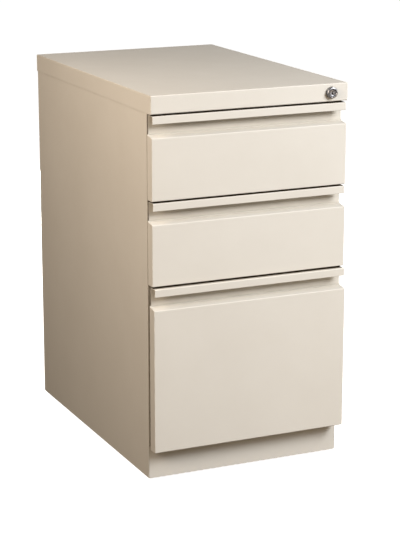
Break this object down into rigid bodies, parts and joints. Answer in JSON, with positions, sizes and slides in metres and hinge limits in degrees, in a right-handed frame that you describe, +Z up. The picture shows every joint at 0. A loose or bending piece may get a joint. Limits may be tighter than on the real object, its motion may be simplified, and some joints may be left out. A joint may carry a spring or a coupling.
{
  "type": "filing cabinet",
  "caption": "Steel office pedestal with box drawers over a file drawer on ball-bearing runners, full-width recessed pulls, a plain cap with a gang lock and levelling glides.",
  "frame": {"origin": "on the floor, under the middle of the cabinet's box", "axes": "+X to the right seen from the front, +Y to the back, +Z up"},
  "size_m": [0.3834, 0.5874, 0.705],
  "materials": {
    "enamel": "satin putty enamel",
    "zinc": "zinc plated",
    "hardware": "plain steel",
    "lock_metal": "satin nickel",
    "iron": "rough",
    "nylon": "natural nylon",
    "glide_plastic": "black nylon"
  },
  "bodies": {
    "case": {"top_cap": "enamel", "left_side_panel": "enamel", "right_side_panel": "enamel", "back_panel": "enamel", "back_panel_rivets": "enamel", "bottom_pan": "enamel", "kick_plate": "enamel", "counterweight": "iron", "lock_housing": "lock_metal", "lock_nut": "lock_metal", "lock_bar_guides": "nylon", "glide_nuts": "zinc", "left_front_upright": "zinc", "left_rear_upright": "zinc", "left_top_slide_cabinet": "zinc", "left_middle_slide_cabinet": "zinc", "left_file_slide_cabinet": "zinc", "right_front_upright": "zinc", "right_rear_upright": "zinc", "right_top_slide_cabinet": "zinc", "right_middle_slide_cabinet": "zinc", "right_file_slide_cabinet": "zinc"},
    "top_drawer": {"top_drawer_front": "enamel", "top_drawer_inner_front": "enamel", "top_drawer_screws": "hardware", "top_drawer_tub": "enamel", "top_drawer_catch": "hardware", "left_top_slide_drawer": "zinc", "right_top_slide_drawer": "zinc"},
    "top_slide_middles": {"top_slide_middles": "zinc"},
    "top_slide_outer_cages": {"top_slide_outer_cages": "hardware"},
    "top_slide_inner_cages": {"top_slide_inner_cages": "hardware"},
    "middle_drawer": {"middle_drawer_front": "enamel", "middle_drawer_inner_front": "enamel", "middle_drawer_screws": "hardware", "middle_drawer_tub": "enamel", "middle_drawer_catch": "hardware", "left_middle_slide_drawer": "zinc", "right_middle_slide_drawer": "zinc"},
    "middle_slide_middles": {"middle_slide_middles": "zinc"},
    "middle_slide_outer_cages": {"middle_slide_outer_cages": "hardware"},
    "middle_slide_inner_cages": {"middle_slide_inner_cages": "hardware"},
    "file_drawer": {"file_drawer_front": "enamel", "file_drawer_inner_front": "enamel", "file_drawer_screws": "hardware", "file_drawer_tub": "enamel", "file_drawer_catch": "hardware", "left_file_slide_drawer": "zinc", "right_file_slide_drawer": "zinc", "hanging_file_rails": "zinc"},
    "file_slide_middles": {"file_slide_middles": "zinc"},
    "file_slide_outer_cages": {"file_slide_outer_cages": "hardware"},
    "file_slide_inner_cages": {"file_slide_inner_cages": "hardware"},
    "lock": {"lock_plug": "lock_metal", "lock_cam": "zinc"},
    "lock_bar": {"lock_bar": "zinc"},
    "glide_front_left": {"glide_front_left": "glide_plastic"},
    "glide_front_right": {"glide_front_right": "glide_plastic"},
    "glide_rear_left": {"glide_rear_left": "glide_plastic"},
    "glide_rear_right": {"glide_rear_right": "glide_plastic"}
  },
  "joints": [
    {"name": "top_drawer_slide", "type": "slide", "parent": "case", "child": "top_drawer", "axis": [0, -1, 0], "range_m": [0, 0.482]},
    {"name": "top_slide_middles_travel", "type": "slide", "parent": "case", "child": "top_slide_middles", "axis": [0, -1, 0], "range_m": [0, 0.2412]},
    {"name": "top_slide_outer_cages_travel", "type": "slide", "parent": "case", "child": "top_slide_outer_cages", "axis": [0, -1, 0], "range_m": [0, 0.1207]},
    {"name": "top_slide_inner_cages_travel", "type": "slide", "parent": "case", "child": "top_slide_inner_cages", "axis": [0, -1, 0], "range_m": [0, 0.3617]},
    {"name": "middle_drawer_slide", "type": "slide", "parent": "case", "child": "middle_drawer", "axis": [0, -1, 0], "range_m": [0, 0.482]},
    {"name": "middle_slide_middles_travel", "type": "slide", "parent": "case", "child": "middle_slide_middles", "axis": [0, -1, 0], "range_m": [0, 0.2412]},
    {"name": "middle_slide_outer_cages_travel", "type": "slide", "parent": "case", "child": "middle_slide_outer_cages", "axis": [0, -1, 0], "range_m": [0, 0.1207]},
    {"name": "middle_slide_inner_cages_travel", "type": "slide", "parent": "case", "child": "middle_slide_inner_cages", "axis": [0, -1, 0], "range_m": [0, 0.3617]},
    {"name": "file_drawer_slide", "type": "slide", "parent": "case", "child": "file_drawer", "axis": [0, -1, 0], "range_m": [-0.0065, 0.4755]},
    {"name": "file_slide_middles_travel", "type": "slide", "parent": "case", "child": "file_slide_middles", "axis": [0, -1, 0], "range_m": [-0.00345, 0.23795]},
    {"name": "file_slide_outer_cages_travel", "type": "slide", "parent": "case", "child": "file_slide_outer_cages", "axis": [0, -1, 0], "range_m": [-0.00183, 0.11908]},
    {"name": "file_slide_inner_cages_travel", "type": "slide", "parent": "case", "child": "file_slide_inner_cages", "axis": [0, -1, 0], "range_m": [-0.00507, 0.35683]},
    {"name": "lock_bar_lift", "type": "slide", "parent": "case", "child": "lock_bar", "axis": [0, 0, 1], "range_m": [0, 0.0127]},
    {"name": "lock_turn", "type": "hinge", "parent": "case", "child": "lock", "pos_m": [0.158, -0.28725, 0.68875], "axis": [0, -1, 0], "range_deg": [0, 90]},
    {"name": "glide_front_left_adjust", "type": "slide", "parent": "case", "child": "glide_front_left", "axis": [0, 0, -1], "range_m": [0, 0.012]},
    {"name": "glide_front_right_adjust", "type": "slide", "parent": "case", "child": "glide_front_right", "axis": [0, 0, -1], "range_m": [0, 0.012]},
    {"name": "glide_rear_left_adjust", "type": "slide", "parent": "case", "child": "glide_rear_left", "axis": [0, 0, -1], "range_m": [0, 0.012]},
    {"name": "glide_rear_right_adjust", "type": "slide", "parent": "case", "child": "glide_rear_right", "axis": [0, 0, -1], "range_m": [0, 0.012]}
  ],
  "couplings": [
    {"joint": "top_slide_middles_travel", "follows": "top_drawer_slide", "ratio": 0.5},
    {"joint": "top_slide_outer_cages_travel", "follows": "top_drawer_slide", "ratio": 0.25},
    {"joint": "top_slide_inner_cages_travel", "follows": "top_drawer_slide", "ratio": 0.75},
    {"joint": "middle_slide_middles_travel", "follows": "middle_drawer_slide", "ratio": 0.5},
    {"joint": "middle_slide_outer_cages_travel", "follows": "middle_drawer_slide", "ratio": 0.25},
    {"joint": "middle_slide_inner_cages_travel", "follows": "middle_drawer_slide", "ratio": 0.75},
    {"joint": "file_slide_middles_travel", "follows": "file_drawer_slide", "ratio": 0.5},
    {"joint": "file_slide_outer_cages_travel", "follows": "file_drawer_slide", "ratio": 0.25},
    {"joint": "file_slide_inner_cages_travel", "follows": "file_drawer_slide", "ratio": 0.75},
    {"joint": "lock_turn", "follows": "lock_bar_lift", "rad_per_m": 123.41}
  ]
}
